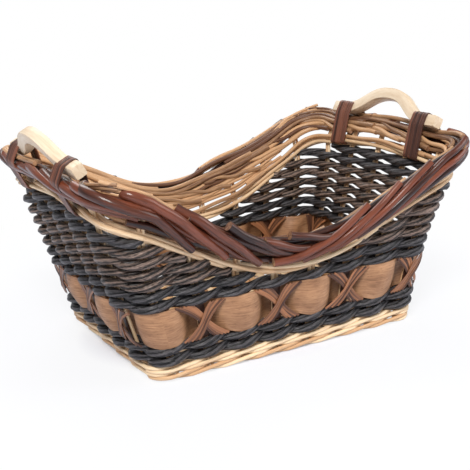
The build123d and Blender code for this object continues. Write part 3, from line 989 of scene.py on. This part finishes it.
# Lashings: flat bark strips side by side round the handle's foot and the border
lash = {"strips": 6, "rearStrips": 7, "width": 3.2, "thickness": 1.5, "middle": 59.5, "pitch": 3.4, "gap": 0.7,
        "belowWale": 1.0, "space": 46.7, "inner": (-9.0, 1.0), "outer": (8.6, -0.5), "gather": 1.5,
        "overUp": 24.0, "overOut": 12.2, "overTop": 26.0, "bend": 3.2, "jitter": 0.2,
        "thicker": 0.15}


def roundLoop(corners, radius, bendSteps=6, sideSteps=5, most=0.45):
    # a closed loop through corners with rounded bends, each taking at most a share of its sides
    points = []
    for n, here in enumerate(corners):
        before, after = corners[n - 1], corners[(n + 1) % len(corners)]
        back, on = norm(before - here), norm(after - here)
        reach = min(radius, back * most, on * most)
        a, b = here + (before - here) / back * reach, here + (after - here) / on * reach
        for step in range(bendSteps + 1):
            t = step / bendSteps
            points.append(a * (1 - t) ** 2 + here * 2 * t * (1 - t) + b * t * t)
        follow = after + (here - after) / on * min(radius, on * most)
        points += [b + (follow - b) * step / sideSteps for step in range(1, sideSteps)]
    return points


def buildLashing(word, side, place, hand):
    base = np.array([baseX, 0.0, baseZ])
    w, t = handle["width"] / 2 + lash["gap"], handle["thickness"] / 2 + lash["gap"]
    out, up = np.array([cos(tilt), 0.0, -sin(tilt)]) * w, np.array([sin(tilt), 0.0, cos(tilt)]) * t
    skin = newSkin()
    strips = lash["rearStrips"] if side * hand > 0 else lash["strips"]
    for n in range(strips):
        lane = n - (strips - 1) / 2
        y = lash["middle"] + lash["pitch"] * lane
        k = rightMiddle + y / lash["space"]
        low = rimPoint(k, -lash["belowWale"])
        across = (0, y, 0)
        corners = [
            np.array([low[0] + lash["inner"][0], y, low[2] + lash["inner"][1]]),
            np.array([low[0] + lash["outer"][0], y - lane + lash["gather"], low[2] + lash["outer"][1]]),
            np.array([rimPoint(k, lash["overUp"], lash["overOut"])[0], y, low[2] + lash["overTop"]]),
            base + out + up + across, base - out + up + across, base - out - up + across,
        ]
        shift = rng.uniform(-lash["jitter"], lash["jitter"])
        points = [(side * p[0], side * hand * (p[1] + shift), p[2]) for p in roundLoop(corners, lash["bend"])]
        wides = [(0.0, side, 0.0)] * len(points)
        thickness = lash["thickness"] * (1 + lash["thicker"] * (n % 2))
        addRibbon(skin, points, wides, lash["width"], thickness, True, wobbled(0.45, 0.35))
    node = f"{word.lower()}_handle_{place.lower()}_lashing"
    makePiece(word + place + "Lashing", skin, [lashBark], [node])


buildLashing("Right", 1, "Rear", 1)
buildLashing("Right", 1, "Front", -1)
buildLashing("Left", -1, "Front", 1)
buildLashing("Left", -1, "Rear", -1)
print("handles and lashings made")

# Floor: flat cane strips over and under the lengthwise sticks
bottom = {"sticks": 7, "stickSpacing": 25.35, "stripPitch": 6.6, "stripWidth": 6.7, "stripThickness": 1.6,
          "swing": 2.3, "middle": 5.2, "stickRadius": 2.1, "inset": 6.3, "level": 5, "endShort": 5.0,
          "stripSteps": 28, "stickSteps": 10}


def basketFloor():
    skin = newSkin()
    halfX, halfY = (half(bottom["level"]) - bottom["inset"] for half in (halfLength, halfWidth))
    count = int(2 * halfX / bottom["stripPitch"])
    for n in range(count + 1):
        x = -halfX + 2 * halfX * n / count
        hand = 1 if n % 2 else -1
        reach = halfY - (bottom["endShort"] if n in (0, count) else 0.0)
        points = []
        for step in range(2 * bottom["stripSteps"] + 1):
            y = reach * (step / bottom["stripSteps"] - 1)
            wave = cos(pi * y / bottom["stickSpacing"]) * hand * bottom["swing"]
            points.append((x, y, bottom["middle"] + wave))
        wides = [(1.0, 0.0, 0.0)] * len(points)
        addRibbon(skin, points, wides, bottom["stripWidth"], bottom["stripThickness"], False, wobbled(0.55, 0.4))
    makePiece("FloorWeave", skin, [buffCane], ["base_weave"])
    skin = newSkin()
    shares = [step / bottom["stickSteps"] - 1 for step in range(2 * bottom["stickSteps"] + 1)]
    for n in range(bottom["sticks"]):
        y = bottom["stickSpacing"] * (n - bottom["sticks"] // 2)
        points = [(halfX * share, y, bottom["middle"]) for share in shares]
        addTube(skin, points, bottom["stickRadius"], 10, False, wobbled(0.5, 0.4))
    makePiece("FloorSticks", skin, [buffCane], ["base_sticks"])


basketFloor()

# Stage, light and camera; the floor is tinted near the basket and white farther out
studio = {"floorSize": 12.0, "Base Color": (0.8, 0.83, 0.93, 1.0), "whiteShare": 0.8, "nearReach": 0.2,
               "farReach": 0.5, "worldStrength": 0.34, "Roughness": 0.9, "Specular IOR Level": 0.1,
               "underEdge": (0.95, 1.25)}
lamps = (
    ("KeyLamp", (-0.9, -1.3, 1.7), 0.8, 46.0, (1.0, 0.98, 0.95)),
    ("FillLamp", (1.5, -0.9, 1.0), 1.2, 15.0, (0.96, 0.98, 1.0)),
    ("BackLamp", (0.3, 1.6, 1.6), 1.2, 18.0, (1.0, 1.0, 1.0)),
)
lampTarget = Vector((0, 0, 0.1))
view = {"azimuth": -29.4, "elevation": 15.4, "distance": 0.876, "lens": 69.4, "right": -0.0005,
                "height": 0.0836, "roll": 2.1, "sensor": 36.0, "clip": 0.01}
white = (1, 1, 1, 1)


def mixShaders(tree, share, first, second, target):
    mixer = tree.nodes.new("ShaderNodeMixShader")
    for socket, value in zip(mixer.inputs, (share, first.outputs[0], second.outputs[0])):
        tree.links.new(value, socket)
    tree.links.new(mixer.outputs[0], tree.nodes[target].inputs["Surface"])


def buildStage():
    size = studio["floorSize"] / 2
    corners = [(x * size, y * size, 0) for x, y in ((-1, -1), (1, -1), (1, 1), (-1, 1))]
    mesh = bpy.data.meshes.new("StudioFloor")
    mesh.from_pydata(corners, [], [(0, 1, 2, 3)])
    floorPiece = addObject("StudioFloor", mesh)
    material = bpy.data.materials.new("studioFloor")
    material.use_nodes = True
    tree = material.node_tree
    shader = tree.nodes["Principled BSDF"]
    for label in ("Base Color", "Roughness", "Specular IOR Level"):
        shader.inputs[label].default_value = studio[label]
    glow = tree.nodes.new("ShaderNodeEmission")
    glow.inputs["Color"].default_value = white
    path = tree.nodes.new("ShaderNodeLightPath")
    spot = tree.nodes.new("ShaderNodeTexCoord").outputs["Object"]
    away = spread(tree, vectorCalc(tree, "LENGTH", spot), studio["nearReach"], studio["farReach"],
                  studio["whiteShare"], 1.0)
    narrow = vectorCalc(tree, "MULTIPLY", spot, (halfWidth(0) / halfLength(0), 1.0, 0.0))
    edges = (halfWidth(0) / 1000 * share for share in studio["underEdge"])
    whiteness = times(tree, away, spread(tree, vectorCalc(tree, "LENGTH", narrow), *edges))
    mixShaders(tree, times(tree, path.outputs["Is Camera Ray"], whiteness), shader, glow, "Material Output")
    mesh.materials.append(material)


def buildLights():
    for name, place, size, energy, tint in lamps:
        lamp = bpy.data.lights.new(name, "AREA")
        lamp.size = size
        lamp.energy = energy
        lamp.color = tint
        holder = addObject(name, lamp)
        holder.location = place
        holder.rotation_euler = (lampTarget - Vector(place)).to_track_quat("-Z", "Y").to_euler()
    world = bpy.data.worlds.new("Studio")
    world.use_nodes = True
    scene.world = world
    tree = world.node_tree
    soft, seen = tree.nodes["Background"], tree.nodes.new("ShaderNodeBackground")
    wireAll(tree, soft, Color=white, Strength=studio["worldStrength"])
    wireAll(tree, seen, Color=white, Strength=1.0)
    path = tree.nodes.new("ShaderNodeLightPath")
    mixShaders(tree, path.outputs["Is Camera Ray"], soft, seen, "World Output")


def buildCamera():
    a, e, roll = (radians(view[name]) for name in ("azimuth", "elevation", "roll"))
    back = Vector((sin(a) * cos(e), -cos(a) * cos(e), sin(e)))
    right = Vector((cos(a), sin(a), 0))
    up = back.cross(right)
    target = right * view["right"] + Vector((0, 0, view["height"]))
    across = right * cos(roll) - up * sin(roll)
    upwards = up * cos(roll) + right * sin(roll)
    camera = bpy.data.cameras.new("PhotoCamera")
    camera.lens = view["lens"]
    camera.sensor_width = view["sensor"]
    camera.clip_start = view["clip"]
    holder = addObject("PhotoCamera", camera)
    turn = Matrix((across, upwards, back)).transposed().to_4x4()
    holder.matrix_world = Matrix.Translation(target + back * view["distance"]) @ turn
    scene.camera = holder


buildStage()
buildLights()
buildCamera()
scene.view_settings.view_transform = "Standard"
print("stage, light and camera made")
